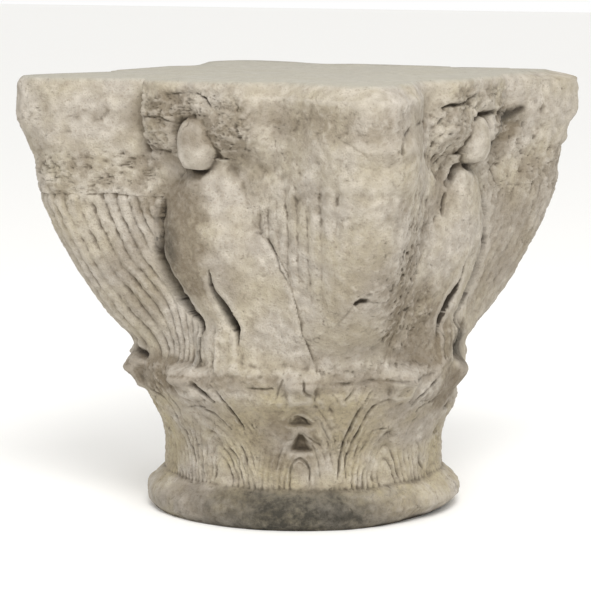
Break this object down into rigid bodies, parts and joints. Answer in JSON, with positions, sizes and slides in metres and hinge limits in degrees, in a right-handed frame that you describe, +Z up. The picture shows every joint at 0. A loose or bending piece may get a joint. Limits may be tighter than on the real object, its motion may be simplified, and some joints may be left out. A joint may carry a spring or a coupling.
{
  "type": "carved stone column capital",
  "caption": "Carved limestone column capital: round neck ring, ring of stiff leaves, spread-winged birds between the corners, square top with hollow sides.",
  "frame": {"origin": "middle of the flat lower bed, on the upright axis", "axes": "+Z up along the axis to the upper bed; the four carved sides face -Y, +X, +Y and -X, and the picture's corner is between -Y and +X"},
  "size_m": [0.3794, 0.3791, 0.385],
  "materials": {
    "limestone": "weathered, matt"
  },
  "bodies": {
    "root": {"capital": "limestone"}
  },
  "joints": []
}
